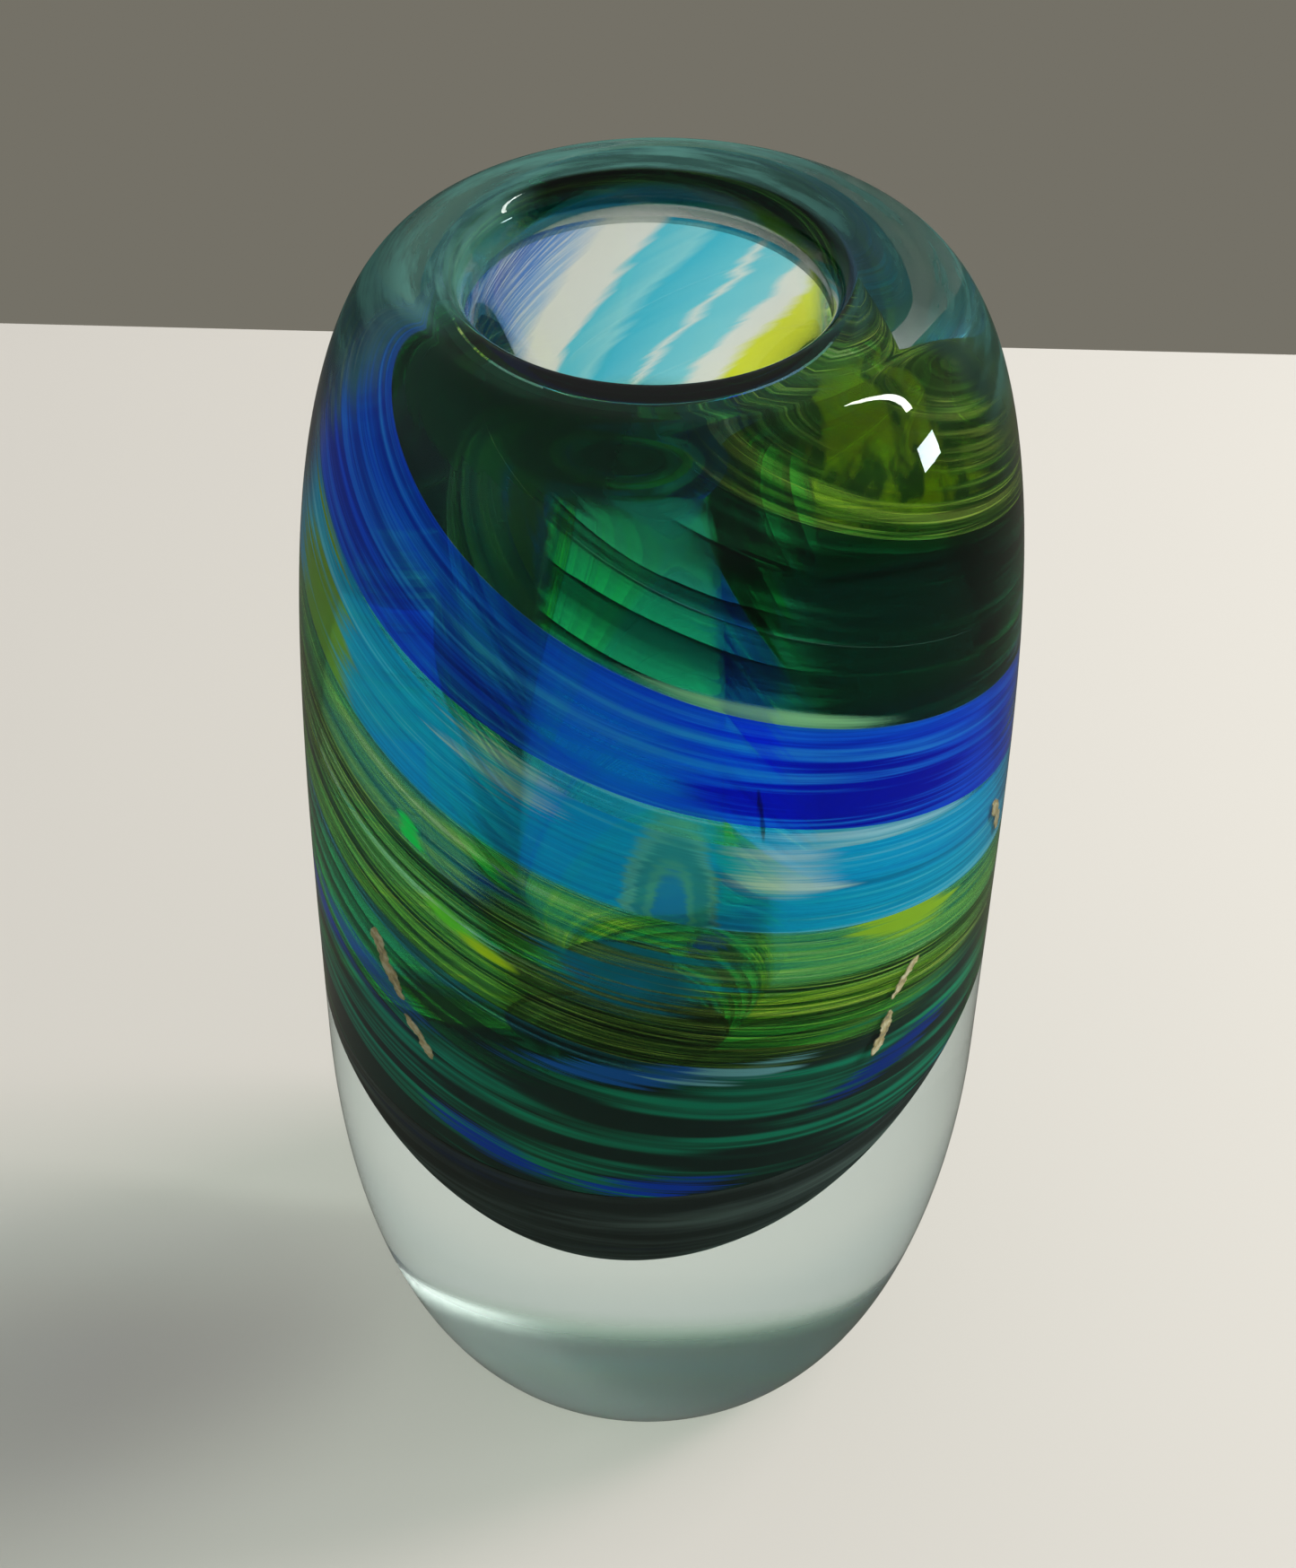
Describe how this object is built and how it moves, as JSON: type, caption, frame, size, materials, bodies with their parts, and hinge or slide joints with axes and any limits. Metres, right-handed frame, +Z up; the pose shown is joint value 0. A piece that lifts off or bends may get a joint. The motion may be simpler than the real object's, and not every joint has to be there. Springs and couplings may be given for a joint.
{
  "type": "cased glass vase",
  "caption": "Heavy cased glass vase with a thick clear base, a rounded lip, an off-centre hollow for stems and a twisted swirl of coloured glass ribbons",
  "frame": {"origin": "centre of the flat foot, on the surface the vase stands on", "axes": "+Z up along the vase's axis, the front of the vase faces -Y, +X to the right of the front"},
  "size_m": [0.09, 0.09, 0.176],
  "materials": {
    "clear_casing": "clear, fire polished, faint sage tint",
    "inner_gather": "clear, fire polished",
    "nose_cup": "smoky dark green, transparent",
    "emerald_ribbon": "emerald, transparent, streaked",
    "bottle_green_ribbon": "near black bottle green, streaked",
    "moss_ribbon": "moss green, streaked",
    "olive_ribbon": "olive, finely streaked",
    "lime_ribbon": "lime, transparent, streaked",
    "turquoise_ribbon": "turquoise, streaked",
    "cobalt_ribbon": "cobalt, brushed streaks",
    "mint_streak": "mint, translucent",
    "sky_streak": "pale blue, translucent",
    "opal_wisp": "opal white, translucent",
    "leaf_flakes": "beige gold leaf, crumpled"
  },
  "bodies": {
    "root": {"clear_casing": "clear_casing", "inner_gather": "inner_gather", "nose_cup": "nose_cup", "emerald_ribbon": "emerald_ribbon", "bottle_green_ribbon": "bottle_green_ribbon", "moss_ribbon": "moss_ribbon", "olive_ribbon": "olive_ribbon", "lime_ribbon": "lime_ribbon", "turquoise_ribbon": "turquoise_ribbon", "cobalt_ribbon": "cobalt_ribbon", "mint_streak": "mint_streak", "sky_streak": "sky_streak", "opal_wisp": "opal_wisp", "leaf_flakes": "leaf_flakes"}
  },
  "joints": []
}
